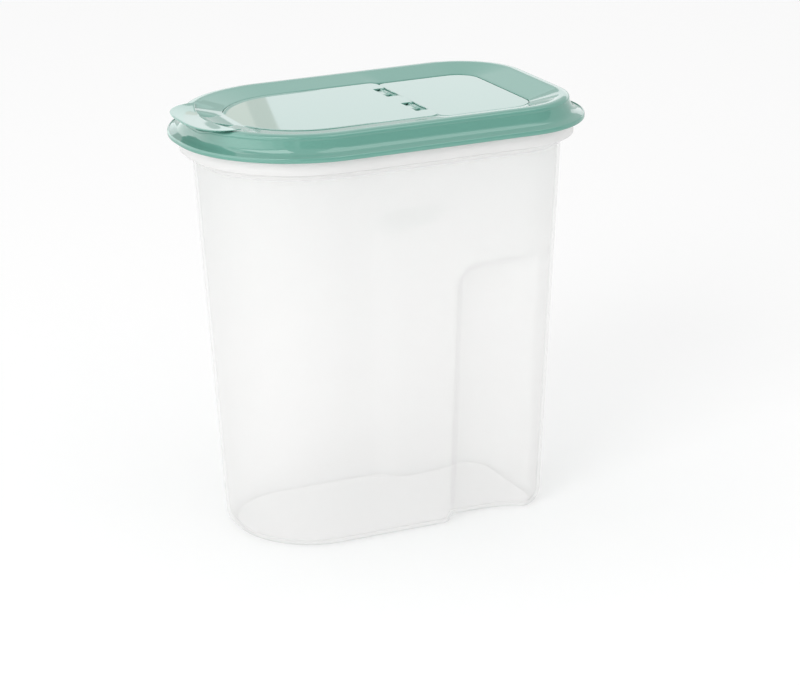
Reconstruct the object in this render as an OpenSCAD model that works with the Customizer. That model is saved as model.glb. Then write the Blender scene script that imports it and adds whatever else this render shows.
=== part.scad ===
// A dry-food container with a press-on lid and a flip spout.
// Millimetres, +Z up, origin on the table under the middle of the lid's outline.
// The spout and its thumb tab point to -X, and the long sides face -Y and +Y.

/* [Overall] */
// Length over the edge of the lid, spout end to back
length = 185; // [170:1:200]
// Width over the edge of the lid
width = 120; // [112:1:130]
// Height from the table to the tip of the thumb tab
height = 195; // [160:1:240]
// Straight stretch between the two round corners at the spout end of the lid
front_flat = 5.8; // [2:0.1:12]
// Straight stretch between the two round corners at the back of the lid
back_flat = 41.2; // [32:0.1:50]

/* [Container] */
// Length of the container where it stands
base_length = 143.8; // [138:0.1:150]
// Width of the container where it stands
base_width = 81.3; // [78:0.1:86]
// Radius of the front corners at the base
base_front_r = 37.2; // [33:0.1:38.5]
// Radius of the back corners at the base
base_back_r = 23; // [20:0.1:26]
// Thickness of the container's side walls
wall = 1.4; // [1:0.1:1.6]
// Thickness of the container's floor
floor_t = 1.8; // [1.2:0.1:3]
// Rounding of the edge round the base
base_round = 5; // [4:0.1:7]

/* [Container rim] */
// From the edge of the lid in to the container's wall at the rim
wall_inset = 10.1; // [9.7:0.1:10.6]
// From the edge of the lid in to the rim's turned-down skirt
rim_inset = 5.1; // [4.6:0.1:6]
// Thickness of the rim and its skirt
rim_t = 1.05; // [0.8:0.05:1.5]
// Height of the rim's skirt
rim_h = 8.2; // [6:0.1:10]

/* [Grip recess] */
// Where the front edge of the recess meets the table
grip_x = 17; // [10:0.5:22]
// How far that edge leans back up to the top of the recess
grip_lean = 3.2; // [0:0.1:5]
// Height of the recess
grip_h = 126; // [100:1:140]
// Depth of the recess
grip_depth = 9; // [5:0.1:10]
// How far its slanted sides run while they go in
grip_run = 7.2; // [5:0.1:9]
// Radius of its upper front corner
grip_corner_r = 12; // [8:0.5:16]
// Where its floor starts to rise again towards the back corner
grip_rise_x = 48; // [44:0.5:50]

/* [Lid collar] */
// From the container's rim up to the crest of the lid's collar
collar_h = 9.2; // [8.6:0.1:10.5]
// From the crest of the collar up to the tip of the thumb tab
tab_rise = 0.6; // [0.4:0.1:1.5]
// How much lower the collar is under the thumb tab
dip_depth = 2.3; // [1.5:0.1:2.6]
// Half width of the level bottom of that dip
dip_half = 24.5; // [22:0.5:27]
// Thickness of the lid's skin
skin = 1.6; // [1.3:0.1:1.8]
// From the edge of the lid in to the outside of its plug
plug_inset = 12.4; // [12.3:0.05:12.8]
// Thickness of the plug
plug_t = 1.4; // [1:0.1:1.8]
// How deep the plug reaches below the container's rim
plug_depth = 7.6; // [5:0.1:12]
// Gap between the lid's stop and the container's rim
seat_gap = 0.2; // [0.1:0.05:0.4]

/* [Lid deck] */
// From the edge of the lid in to the flap's pocket at the sides
pocket_side = 24.2; // [22:0.1:26]
// From the edge of the lid in to the flap's pocket at the front
pocket_front = 23.7; // [22:0.1:26]
// From the edge of the lid in to the back of the deck's recess
pocket_back = 26.3; // [24:0.1:30]
// Radius of the two back corners of the deck's recess
pocket_back_r = 11.5; // [9:0.1:15]
// From the crest of the collar down to the edge of the pocket
slope_drop = 3.4; // [3:0.1:3.6]
// Width of the ledge round the pour opening
ledge = 6.3; // [5:0.1:9]
// Radius of the pour opening's two rear corners
opening_r = 8; // [4:0.5:12]
// Height of the lip round the pour opening
lip_h = 3.7; // [2.5:0.1:6]
// Gap all round the fixed deck panel
deck_groove = 0.9; // [0.5:0.1:1.5]
// Height of the fixed deck panel above the floor of the pocket
deck_rise = 1; // [0.6:0.1:1.2]

/* [Flap] */
// From the crest of the collar down to the flat top of the flap
flap_drop = 2.4; // [2.2:0.1:2.6]
// Thickness of the flap
flap_t = 1.5; // [1.2:0.1:1.6]
// Gap between the flap and the edge of its pocket
flap_gap = 0.4; // [0.3:0.05:0.6]
// Gap between the flap's underside and the ledge it closes on
ledge_gap = 0.4; // [0.3:0.05:0.6]
// Radius of the flap's two rear corners
flap_corner_r = 4.5; // [3:0.5:6]
// Thickness of the seal skirt under the flap
seal_t = 1.2; // [0.8:0.1:1.6]
// Gap between the seal skirt and the pour opening
seal_gap = 0.4; // [0.3:0.05:0.6]
// How far the seal skirt reaches below the flap
seal_h = 4.5; // [3.5:0.1:6]

/* [Thumb tab] */
// Length of the tab from its inner edge to its tip
tab_len = 12.8; // [10:0.1:13.5]
// Half width of the tab
tab_half = 29.5; // [26:0.1:30]
// Thickness of the tab
tab_t = 1.6; // [1.2:0.1:2]
// From the edge of the lid in to the tip of the tab
tab_inset = 1.1; // [0.8:0.1:2]
// Half width of the neck between the flap and the tab
neck_half = 6; // [5:0.1:8]
// Gap between the tab and the collar below it
tab_gap = 0.35; // [0.3:0.05:0.6]

/* [Hinge] */
// How far the hinge line lies behind the middle of the lid
hinge_x = 16.2; // [12:0.1:20]
// Radius of the two hinge pins
pin_r = 1.2; // [1:0.05:1.3]
// Running clearance between a pin and its clip
pin_gap = 0.05; // [0.03:0.01:0.08]
// From the middle of the lid to the middle of each clip
clip_y = 15.3; // [13:0.1:18]
// Width of each clip
clip_w = 9; // [6:0.1:10]
// Outer radius of a clip
clip_r = 2.2; // [2.1:0.05:2.25]
// Width of the slot through which a clip snaps on
clip_slot = 2; // [1.6:0.1:2.2]
// Thickness of the ears that carry the pins
ear_t = 1.5; // [1.2:0.1:2]
// Gap between a clip and the ears beside it
ear_side_gap = 1.7; // [1:0.1:2.5]
// Gap between an ear and the flap beside it
notch_gap = 0.3; // [0.3:0.05:0.5]

/* [Hidden] */
$fn = 96;

mint = [0.70, 0.85, 0.80];
milky = [0.90, 0.91, 0.90];

// Heights, from the top down
crest_z = height - tab_rise;
rim_z = crest_z - collar_h;
flap_z = crest_z - flap_drop;
flap_under = flap_z - flap_t;
pocket_z = flap_under - ledge_gap;
slope_z = crest_z - slope_drop;
deck_z = pocket_z + deck_rise;
pin_z = flap_z - skin + 0.2;

// Radii of the lid's outline
front_r = (width - front_flat) / 2;
back_r = (width - back_flat) / 2;

// The flap's pocket: a round front, parallel sides and a square back
pocket_half = width / 2 - pocket_side;
pocket_cx = -length / 2 + pocket_front + pocket_half;
pocket_end = length / 2 - pocket_back;

// The hinge's trough runs across the lid just behind the pour opening
nose_r = clip_r + 0.1;
trough_gap = 0.3;
trough_back = hinge_x + nose_r + trough_gap;
trough_front = hinge_x - 4.8;
trough_z = pin_z - nose_r - 1.1;
lip_t = 1.2;
opening_end = trough_front - skin - lip_t - 1.1;

// Number of steps round a front corner and round a back corner
front_steps = 10;
back_steps = 8;

function lerp(a, b, t) = a + (b - a) * t;
function ease(t) = let (u = min(max(t, 0), 1)) u * u * (3 - 2 * u);

// ---- Outlines ----------------------------------------------------------

// Half an outline, on the -Y side, from the middle of the front to the middle of the back.
// stations are the extra places along the straight side, as x values.
function half_outline(x0, x1, hw, rf, rb, stations) = concat(
    [for (i = [0 : front_steps])
        let (a = 180 + 90 * i / front_steps)
        [x0 + rf + rf * cos(a), -(hw - rf) + rf * sin(a)]],
    [for (x = stations) [x, -hw]],
    [for (i = [0 : back_steps])
        let (a = 270 + 90 * i / back_steps)
        [x1 - rb + rb * cos(a), -(hw - rb) + rb * sin(a)]]);

// A whole outline from its -Y half, counter-clockwise from above
function both_sides(half) = concat(half, [for (i = [len(half) - 1 : -1 : 0]) [half[i][0], -half[i][1]]]);

// Places along the container's long side, thick where the recess turns in
grip_steps = [-1, 0.8, 3, 5.2, 7.6, 14, 21];

function grip_edge(z) = grip_x + grip_lean * z / grip_h;

// Shape of the container's outside at height z, before the base is rounded
function body_x(z) = lerp(base_length / 2, length / 2 - wall_inset, z / rim_z);
function body_y(z) = lerp(base_width / 2, width / 2 - wall_inset, z / rim_z);
function body_rf(z) = lerp(base_front_r, front_r - wall_inset, z / rim_z);
function body_rb(z) = lerp(base_back_r, back_r - wall_inset, z / rim_z);

// How far inside the recess's edges a place on the long side lies
function inside_grip(x, z) = let (
        a = x - grip_edge(z),
        b = grip_h - z,
        r = grip_corner_r)
    (a < r && b < r) ? r - norm([r - a, r - b]) : min(a, b);

// Half width that the recess leaves at (x, z), for a surface t inside the outer one
function grip_limit(x, z, t) = let (
        slope = grip_depth / grip_run,
        side = body_y(z) - slope * inside_grip(x, z) - t * sqrt(1 + slope * slope),
        bed = body_y(z) - grip_depth - t + 0.058 * (x - grip_edge(z) - grip_run),
        bed_end = body_y(z) - grip_depth - t + 0.058 * (grip_rise_x - grip_edge(z) - grip_run),
        rise = bed_end + 0.48 * (x - grip_rise_x))
    max(side, bed, rise);

// Rounding of the base: how far the outline draws in at height z, for a corner of radius r
function draw_in(z, r) = z < r ? r - sqrt(r * r - (r - z) * (r - z)) : 0;

// One ring of the container at height z, t inside its outer face and drawn in by e
function body_ring(z, t, e) = let (
        i = t + e,
        half = half_outline(-body_x(z) + i, body_x(z) - i, body_y(z) - i, body_rf(z) - i,
            body_rb(z) - i, [for (g = grip_steps) grip_edge(z) + g]),
        cut = [for (p = half) [p[0], -min(-p[1], max(grip_limit(p[0], z, t) - e, 0.5 * base_width - 20))]])
    [for (p = both_sides([for (k = [0 : len(half) - 1]) half[k][0] > 0 ? cut[k] : half[k]])) [p[0], p[1], z]];

// One ring of the rim, at an inset from the lid's edge
function rim_ring(inset, z) = [for (p = both_sides(half_outline(
        -length / 2 + inset, length / 2 - inset, width / 2 - inset, front_r - inset, back_r - inset,
        [for (g = grip_steps) grip_edge(rim_z) + g]))) [p[0], p[1], z]];

// ---- Lofting -------------------------------------------------------------

// Triangles between ring k and ring k + 1 of n points each
function band(k, m, n) = [for (i = [0 : n - 1]) let (j = (i + 1) % n) each [
    [k * n + i, m * n + i, m * n + j],
    [k * n + i, m * n + j, k * n + j]]];

// A solid through a stack of rings, closed at both ends
module loft(rings) {
    n = len(rings[0]);
    last = len(rings) - 1;
    polyhedron(
        points = [for (r = rings) each r],
        faces = concat(
            [[for (i = [0 : n - 1]) i]],
            [for (k = [0 : last - 1]) each band(k, k + 1, n)],
            [[for (i = [n - 1 : -1 : 0]) last * n + i]]),
        convexity = 10);
}

// A hoop through rings that come back to the first one
module hoop(rings) {
    n = len(rings[0]);
    count = len(rings);
    polyhedron(
        points = [for (r = rings) each r],
        faces = [for (k = [0 : count - 1]) each band(k, (k + 1) % count, n)],
        convexity = 10);
}

// ---- Container -----------------------------------------------------------

rim_top = rim_z;
skirt_low = rim_z - rim_h;
grip_top_levels = [0.9, 0.945, 0.97, 0.99, 1.01];

module container() {
    inner_round = base_round - wall;
    round_steps = 3;
    outer_levels = [for (i = [0 : round_steps]) base_round * (1 - cos(90 * i / round_steps))];
    inner_levels = [for (i = [round_steps : -1 : 0]) floor_t + inner_round * (1 - cos(90 * i / round_steps))];
    grip_levels = [for (g = grip_top_levels) g * grip_h];
    color(milky) loft(concat(
        // outside, from the table up to the underside of the rim
        [for (z = outer_levels) body_ring(z, 0, draw_in(z, base_round))],
        [body_ring(grip_h / 2, 0, 0)],
        [for (z = grip_levels) body_ring(z, 0, 0)],
        [body_ring(rim_z - rim_t, 0, 0)],
        // the rim's turned-down skirt
        [rim_ring(rim_inset + rim_t, rim_z - rim_t)],
        [rim_ring(rim_inset + rim_t, skirt_low)],
        [rim_ring(rim_inset, skirt_low)],
        [rim_ring(rim_inset, rim_z - 0.7)],
        [rim_ring(rim_inset + 0.2, rim_z - 0.2)],
        [rim_ring(rim_inset + 0.7, rim_z)],
        // inside, from the rim down to the floor
        [body_ring(rim_z, wall, 0)],
        [for (i = [len(grip_levels) - 1 : -1 : 0]) body_ring(grip_levels[i], wall, 0)],
        [body_ring(grip_h / 2, wall, 0)],
        [for (z = inner_levels) body_ring(z, wall, draw_in(z - floor_t, inner_round))]));
}

// ---- Lid -----------------------------------------------------------------

// Turns a profile of [inset, z] points round a corner of radius r, for a quarter turn from a0
module corner(x, y, r, a0, profile) {
    translate([x, y, 0])
        rotate(a0)
        rotate_extrude(angle = 90) polygon([for (p = profile) [r - p[0], p[1]]]);
}

// Sweeps a profile of [inset, z] points round the lid's outline, and another one round its front
module sweep_round(profile, front_profile) {
    front_x = -length / 2 + front_r;
    back_x = length / 2 - back_r;
    for (s = [-1, 1]) {
        corner(front_x, s * front_flat / 2, front_r, s > 0 ? 90 : 180, front_profile);
        corner(back_x, s * back_flat / 2, back_r, s > 0 ? 0 : 270, profile);
        translate([front_x, 0, 0])
            rotate([90, 0, 90])
            linear_extrude(back_x - front_x) polygon([for (p = profile) [s * (width / 2 - p[0]), p[1]]]);
    }
    rotate([90, 0, 0])
        linear_extrude(front_flat, center = true)
        polygon([for (p = front_profile) [-length / 2 + p[0], p[1]]]);
    rotate([90, 0, 0])
        linear_extrude(back_flat, center = true)
        polygon([for (p = profile) [length / 2 - p[0], p[1]]]);
}

// The collar's outside, as [inset, drop below the crest]: a low edge, a fine groove line,
// a sweep up and a rounded bead along the crest
collar_outside = [[0, 10.6], [0, 9.1], [0.3, 8.5], [0.9, 8.2], [1.3, 8.25], [2.6, 8], [4.2, 7.2],
    [5.4, 6], [6.3, 4.4], [6.9, 2.7], [7.15, 1.5], [7.4, 0.8], [7.95, 0.4], [8.9, 0.2], [10.2, 0.04],
    [10.9, 0]];

// The hollow below it, one skin thickness in, as [inset, drop below the crest's underside]
hollow = [[10.2, 0], [9.1, 0.2], [8.6, 0.8], [8.35, 1.6], [7.8, 3.2], [6.9, 4.9], [5.5, 6.5], [4.1, 7.5],
    [2.9, 8], [1.6, 8.3]];

crest_inset = 11.6;

// Round the front the hollow stays lower, clear of the dip under the thumb tab
front_drop = dip_depth + 0.5;
front_hollow = concat([[8, front_drop]], [for (p = hollow) if (p[1] > front_drop) p]);

// The collar and the plug that hangs from it, as one outline of [inset, z] points.
// cavity is the outline of the hollow between them.
function collar_profile(cavity) = let (
        plug_in = plug_inset + plug_t,
        plug_low = rim_z - plug_depth,
        bead_z = rim_z - 3,
        stop_z = rim_z + seat_gap,
        stop_inset = wall_inset - 0.1,
        edge_low = crest_z - collar_outside[0][1])
    concat(
        [for (p = collar_outside) [p[0], crest_z - p[1]]],
        [[crest_inset, crest_z - 0.25], [crest_inset, crest_z - skin + 0.3]],
        [[plug_in, crest_z - skin - 0.3], [plug_in, plug_low]],
        // the plug's outer face, with a sealing bead
        [[plug_inset + 0.4, plug_low], [plug_inset, plug_low + 0.8], [plug_inset, bead_z - 0.9]],
        [[plug_inset - 0.3, bead_z - 0.2], [plug_inset - 0.3, bead_z + 0.2], [plug_inset, bead_z + 0.9]],
        // the stop that rests on the rim
        [[plug_inset, stop_z], [stop_inset, stop_z], [stop_inset, stop_z + plug_t]],
        [[plug_inset, stop_z + plug_t], [plug_inset, crest_z - skin - max(cavity[0][1], 0.4)]],
        [for (p = cavity) [p[0], crest_z - skin - p[1]]],
        [[skin, edge_low]]);
// Crest of the collar: lower under the thumb tab
function dip(y) = dip_depth * (1 - ease((abs(y) - dip_half) / dip_half * 2.7));
dip_end = dip_half * (1 + 1 / 2.7);

// A cutter along X that takes away what lies above the dipped crest
module above_dip() {
    steps = 12;
    curve = [for (i = [0 : steps]) let (y = lerp(dip_half, dip_end, i / steps)) [y, crest_z - dip(y)]];
    rotate([90, 0, 90])
        linear_extrude(length / 3) polygon(concat(
            [[-dip_end, height + 5], [dip_end, height + 5]],
            [for (i = [steps : -1 : 0]) curve[i]],
            [for (p = curve) [-p[0], p[1]]]));
}

// The collar with its dip
module dipped_collar() {
    difference() {
        sweep_round(collar_profile(hollow), collar_profile(front_hollow));
        translate([-length / 2 - 1, 0, 0]) above_dip();
    }
}

// Edge of the pocket: lower in the middle of the front, where the flap's neck crosses it
chute_half = 17;
chute_drop = slope_z - pocket_z - 0.05;
function pocket_edge_z(x, y) = slope_z
    - (x < pocket_cx ? chute_drop * (1 - ease((abs(y) - chute_half) / 7)) : 0);

// The slope from the collar's crest down to the pocket
module slope() {
    side = [for (i = [1 : 3]) i / 4];
    root = 11;
    x0 = -length / 2 + front_r;
    x1 = length / 2 - back_r;
    outer = both_sides(half_outline(-length / 2 + root, length / 2 - root, width / 2 - root,
        front_r - root, back_r - root, [for (t = side) lerp(x0, x1, t)]));
    inner = both_sides(half_outline(pocket_cx - pocket_half, pocket_end, pocket_half,
        pocket_half, pocket_back_r, [for (t = side) lerp(pocket_cx, pocket_end - pocket_back_r, t)]));
    outer_top = [for (p = outer) [p[0], p[1], crest_z - 0.35 - (p[0] < 0 ? dip(p[1]) : 0)]];
    inner_top = [for (p = inner) [p[0], p[1], pocket_edge_z(p[0], p[1])]];
    hoop([
        outer_top,
        inner_top,
        [for (p = inner_top) p - [0, 0, skin]],
        [for (p = outer_top) p - [0, 0, skin]]]);
}

// The pocket's shape with its deck end, grown outward by g
module pocket_shape(g) {
    translate([pocket_cx, 0]) circle(pocket_half + g);
    back_x = pocket_end - pocket_back_r;
    translate([pocket_cx, -pocket_half - g]) square([back_x - pocket_cx, 2 * (pocket_half + g)]);
    for (s = [-1, 1])
        translate([back_x, s * (pocket_half - pocket_back_r)]) circle(pocket_back_r + g);
    translate([back_x - 1, -pocket_half + pocket_back_r])
        square([pocket_back_r + g + 1, 2 * (pocket_half - pocket_back_r)]);
}

// The pour opening's shape, grown outward by g
module opening_shape(g) {
    half = pocket_half - ledge;
    rear = opening_end - opening_r;
    translate([pocket_cx, 0]) circle(half + g);
    translate([pocket_cx, -half - g]) square([rear - pocket_cx, 2 * (half + g)]);
    for (s = [-1, 1]) translate([rear, s * (half - opening_r)]) circle(opening_r + g);
    translate([rear - 1, -half + opening_r]) square([opening_r + g + 1, 2 * (half - opening_r)]);
}

// A rectangle with round corners: radius ra at its front end, rb at its back end
module panel_shape(x0, x1, half, ra, rb) {
    for (s = [-1, 1]) {
        translate([x0 + ra, s * (half - ra)]) circle(ra);
        translate([x1 - rb, s * (half - rb)]) circle(rb);
    }
    translate([x0 + ra, -half]) square([x1 - rb - x0 - ra, 2 * half]);
    translate([x0, -half + ra]) square([ra + 1, 2 * (half - ra)]);
    translate([x1 - rb - 1, -half + rb]) square([rb + 1, 2 * (half - rb)]);
}

// Deck, pocket floor, hinge trough and the pour opening with its lip
module deck() {
    trough_half = pocket_half - 0.2;
    difference() {
        union() {
            translate([0, 0, pocket_z - skin]) linear_extrude(skin) pocket_shape(1.5);
            translate([0, 0, pocket_z - skin / 2])
                linear_extrude(deck_z - pocket_z + skin / 2)
                panel_shape(trough_back, pocket_end - deck_groove, pocket_half - deck_groove,
                    flap_corner_r, pocket_back_r - deck_groove);
            translate([trough_front - skin, -trough_half - skin, trough_z - skin])
                cube([trough_back - trough_front + 2 * skin, 2 * (trough_half + skin), pocket_z - trough_z + skin / 2]);
            translate([0, 0, pocket_z - lip_h]) linear_extrude(lip_h - skin / 2) opening_shape(lip_t);
        }
        translate([trough_front, -trough_half, trough_z])
            cube([trough_back - trough_front, 2 * trough_half, skin * 4]);
        translate([0, 0, pocket_z - lip_h - 1]) linear_extrude(lip_h + 3) opening_shape(0);
    }
}

// Two ears and the pin between them
ear_in = clip_y - clip_w / 2 - ear_side_gap;
ear_out = clip_y + clip_w / 2 + ear_side_gap;
module pin_and_ears() {
    ear_r = flap_z - pin_z;
    for (y = [ear_in - ear_t, ear_out])
        translate([hinge_x, y, 0]) {
            translate([0, ear_t, pin_z]) rotate([90, 0, 0]) cylinder(r = ear_r, h = ear_t);
            translate([-ear_r, 0, trough_z - skin / 2]) cube([2 * ear_r, ear_t, pin_z - trough_z + skin / 2]);
        }
    translate([hinge_x, ear_out + ear_t / 2, pin_z])
        rotate([90, 0, 0]) cylinder(r = pin_r, h = ear_out - ear_in + ear_t);
}

module lid() {
    color(mint) {
        dipped_collar();
        slope();
        deck();
        pin_and_ears();
        mirror([0, 1, 0]) pin_and_ears();
    }
}

// ---- Flap ----------------------------------------------------------------

// Shape of the flap's flat part, back to its rounded nose
module flap_shape() {
    half = pocket_half - flap_gap;
    rear = hinge_x + nose_r;
    translate([pocket_cx, 0]) circle(half);
    translate([pocket_cx, -half]) square([rear - flap_corner_r - pocket_cx, 2 * half]);
    for (s = [-1, 1])
        translate([rear - flap_corner_r, s * (half - flap_corner_r)]) circle(flap_corner_r);
    translate([rear - flap_corner_r - 1, -half + flap_corner_r])
        square([flap_corner_r + 1, 2 * (half - flap_corner_r)]);
}

// The plate and the nose behind it, which turns inside the trough
module flap_plate() {
    notch_in = ear_in - ear_t - notch_gap;
    notch_out = ear_out + ear_t + notch_gap;
    difference() {
        union() {
            difference() {
                translate([0, 0, flap_under]) linear_extrude(flap_t) flap_shape();
                translate([hinge_x, -width, flap_under - 1]) cube([width, 2 * width, flap_t + 2]);
            }
            intersection() {
                translate([hinge_x, width / 2, pin_z]) rotate([90, 0, 0]) cylinder(r = nose_r, h = width);
                translate([0, 0, flap_z - 2 * nose_r]) linear_extrude(2 * nose_r) flap_shape();
            }
        }
        for (s = [-1, 1])
            translate([hinge_x - 4.3, s > 0 ? notch_in : -notch_out, flap_z - 4 * nose_r])
            cube([8, notch_out - notch_in, 5 * nose_r]);
    }
}

// A clip that snaps over a hinge pin, and the arm that joins it to the plate
module clip() {
    difference() {
        union() {
            intersection() {
                translate([hinge_x, clip_y + clip_w / 2, pin_z])
                    rotate([90, 0, 0]) cylinder(r = clip_r, h = clip_w);
                translate([hinge_x - clip_r - 1, clip_y - clip_w, pin_z - clip_r - 1])
                    cube([2 * clip_r + 2, 2 * clip_w, flap_z - pin_z + clip_r + 1]);
            }
            translate([hinge_x - 4.7, clip_y - clip_w / 2, flap_under])
                cube([4.7 - pin_r - 0.4, clip_w, flap_t - 0.3]);
        }
        translate([hinge_x, clip_y + clip_w, pin_z])
            rotate([90, 0, 0]) cylinder(r = pin_r + pin_gap, h = 2 * clip_w);
        translate([hinge_x - clip_slot / 2, clip_y - clip_w, pin_z]) cube([clip_slot, 2 * clip_w, 2 * clip_r]);
    }
}

// The thin wall under the flap that plugs the pour opening
module seal_skirt() {
    difference() {
        translate([0, 0, flap_under - seal_h]) linear_extrude(seal_h + flap_t / 2) opening_shape(-seal_gap);
        translate([0, 0, flap_under - seal_h - 1]) linear_extrude(seal_h + 1) opening_shape(-seal_gap - seal_t);
    }
}

// The neck widens from the tab to the flap's round front and climbs towards the tab
tab_tip = -length / 2 + tab_inset;
tab_root = tab_tip + tab_len;
tab_root_z = height - 1.15;
neck_start = pocket_cx - pocket_half + flap_gap + 2.9;
function neck_z(x) = let (s = max(neck_start - x, 0), whole = neck_start - tab_root)
    flap_z + 0.05 * s + (tab_root_z - flap_z - 0.05 * whole) * pow(s / whole, 3);
function neck_y(x) = neck_half + 13 * pow(max(x - tab_root, 0) / 16, 2);

// A four-sided section across the neck
function neck_section(x, y, low, top) = [[x, -y, low], [x, -y, top], [x, y, top], [x, y, low]];

module neck() {
    steps = 7;
    start = neck_start - 0.6;
    finish = tab_root + 0.2;
    loft(concat(
        [neck_section(start + 3, neck_y(start) * 0.9, flap_under + 0.3, flap_z - 0.3)],
        [for (i = [0 : steps]) let (x = lerp(start, finish, i / steps))
            neck_section(x, neck_y(x), neck_z(x) - flap_t, neck_z(x))],
        [neck_section(tab_root - 1, neck_half - 0.3, tab_root_z - 1, tab_root_z - 0.4)]));
}

// Half length of the tab's outline along X at a place across it: a squarish crescent
function tab_outer(y) = let (back = tab_root + 5.1)
    back - (back - tab_tip) * pow(max(1 - pow(abs(y) / tab_half, 2.3), 0), 1 / 2.3);
function tab_inner(y) = tab_root + 5.1 * pow(abs(y) / tab_half, 2);
function tab_top(x, y) = tab_root_z + (height - tab_root_z) * min(max(tab_inner(y) - x, 0) / tab_len, 1);
function tab_under(x, y) = min(
    max(tab_top(x, y) - tab_t, crest_z - dip(y) + tab_gap),
    tab_top(x, y) - 0.3);

module thumb_tab() {
    steps = 16;
    reach = tab_half * 0.985;
    loft([for (i = [-steps : steps]) let (
            y = reach * sin(90 * i / steps),
            a = tab_inner(y),
            b = tab_outer(y),
            m = lerp(a, b, 0.5))
        [[a, y, tab_under(a, y)], [m, y, tab_under(m, y)], [b, y, tab_under(b, y)],
            [b, y, tab_top(b, y)], [m, y, tab_top(m, y)], [a, y, tab_top(a, y)]]]);
}

module flap() {
    color(mint) {
        flap_plate();
        clip();
        mirror([0, 1, 0]) clip();
        seal_skirt();
        neck();
        thumb_tab();
    }
}

container();
lid();
flap();
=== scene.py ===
"""The dry-food container with its press-on lid and flip spout, dressed for its picture.

Lengths are millimetres until a mesh is made, in the frame of the model: +Z up, -X towards the spout.
"""
import math

import bpy
import numpy as np
from mathutils import Matrix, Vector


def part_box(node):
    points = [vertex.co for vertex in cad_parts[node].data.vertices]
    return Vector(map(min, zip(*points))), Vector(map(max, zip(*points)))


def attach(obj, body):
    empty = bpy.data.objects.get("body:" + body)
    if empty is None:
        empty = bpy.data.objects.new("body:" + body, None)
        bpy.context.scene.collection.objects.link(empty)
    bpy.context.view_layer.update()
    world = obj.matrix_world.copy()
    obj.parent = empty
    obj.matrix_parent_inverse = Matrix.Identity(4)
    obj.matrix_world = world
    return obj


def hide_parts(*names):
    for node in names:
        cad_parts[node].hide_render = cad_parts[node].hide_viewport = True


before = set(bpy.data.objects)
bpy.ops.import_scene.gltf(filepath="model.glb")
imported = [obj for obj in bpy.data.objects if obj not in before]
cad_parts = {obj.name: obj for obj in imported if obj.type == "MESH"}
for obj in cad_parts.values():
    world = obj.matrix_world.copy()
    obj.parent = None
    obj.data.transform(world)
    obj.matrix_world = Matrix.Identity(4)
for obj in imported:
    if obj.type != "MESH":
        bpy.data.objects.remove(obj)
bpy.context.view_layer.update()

# ---- Container -----------------------------------------------------------------------------
# One moulding of milky, translucent plastic. Its walls taper down to a flat base, the back half
# of each long side is drawn in for the hand, and the rim turns out and down as a thin skirt.

MM = 0.001
lid_low, lid_high = (np.array(corner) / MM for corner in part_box("lid"))
body_high = np.array(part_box("container")[1]) / MM
flap_high = np.array(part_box("flap")[1]) / MM

length = lid_high[0] - lid_low[0]
width = lid_high[1] - lid_low[1]
height = flap_high[2]
crest_z = lid_high[2]
rim_z = body_high[2]

# the lid's edge: radius of its front corners and of its back corners, each short of half the width
front_flat = 2.9
back_flat = 20.6
edge_front_r = width / 2 - front_flat
edge_back_r = width / 2 - back_flat

wall = 1.4
floor_t = 1.8
wall_inset = 10.1
rim_inset = 5.1
rim_t = 1.05
rim_round = 0.7
skirt_h = 8.2
skirt_round = 0.25
skirt_root_r = 0.6

# the base's outline: half length, half width, front radius and back radius
base = np.array([71.9, 40.65, 37.2, 23.0])
top = np.array([length / 2, width / 2, edge_front_r, edge_back_r]) - wall_inset
base_round = 5.0

grip_x = 17.0
grip_lean = 3.2
grip_h = 126.0
grip_depth = 9.0
grip_run = 7.2
grip_corner_r = 12.0
grip_rise_x = 48.0
grip_bed_slope = 0.058
grip_rise_slope = 0.48

# how softly the recess's side meets its bed, its bed meets the rise, and all of it meets the wall
bed_blend = 1.6
rise_blend = 3.0
wall_blend = 1.0

# the wall's points lie close together over this stretch, before and behind the recess's edge
turn_ahead = 2.4
turn_behind = 11.0


def smooth_step(t):
    """3 t^2 - 2 t^3, with t held between 0 and 1."""
    t = np.clip(t, 0, 1)
    return t * t * (3 - 2 * t)


def soft_max(a, b, k):
    """The larger of a and b, blended over a difference of k: the max plus (k - |a - b|)^2 / 4k."""
    return np.maximum(a, b) + np.maximum(k - np.abs(a - b), 0) ** 2 / (4 * k)


def half_outline(x0, x1, half, front_r, back_r, side_x, arc=28):
    """The -Y half of a round-cornered outline, from the front round to the back, as (m, n) arrays x, y.

    The corners are quarter circles; side_x holds the places along the straight side between them.
    """
    turn = np.linspace(0, np.pi / 2, arc)[None, :]
    x0, x1, half, front_r, back_r = (np.atleast_1d(v)[:, None] for v in (x0, x1, half, front_r, back_r))
    side_x = np.atleast_2d(side_x) + 0 * half
    x = np.hstack([
        x0 + front_r - front_r * np.cos(turn),
        side_x,
        x1 - back_r + back_r * np.sin(turn)])
    y = np.hstack([
        -(half - front_r) - front_r * np.sin(turn),
        -half + 0 * side_x,
        -(half - back_r) - back_r * np.cos(turn)])
    return x, y


def both_halves(x, y, z):
    """Whole rings as an (m, 2n, 3) array, counter-clockwise from above, from their -Y halves."""
    z = np.broadcast_to(z, x.shape)
    near = np.stack([x, y, z], axis=-1)
    far = np.stack([x, -y, z], axis=-1)[:, ::-1]
    return np.concatenate([near, far], axis=1)


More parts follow.
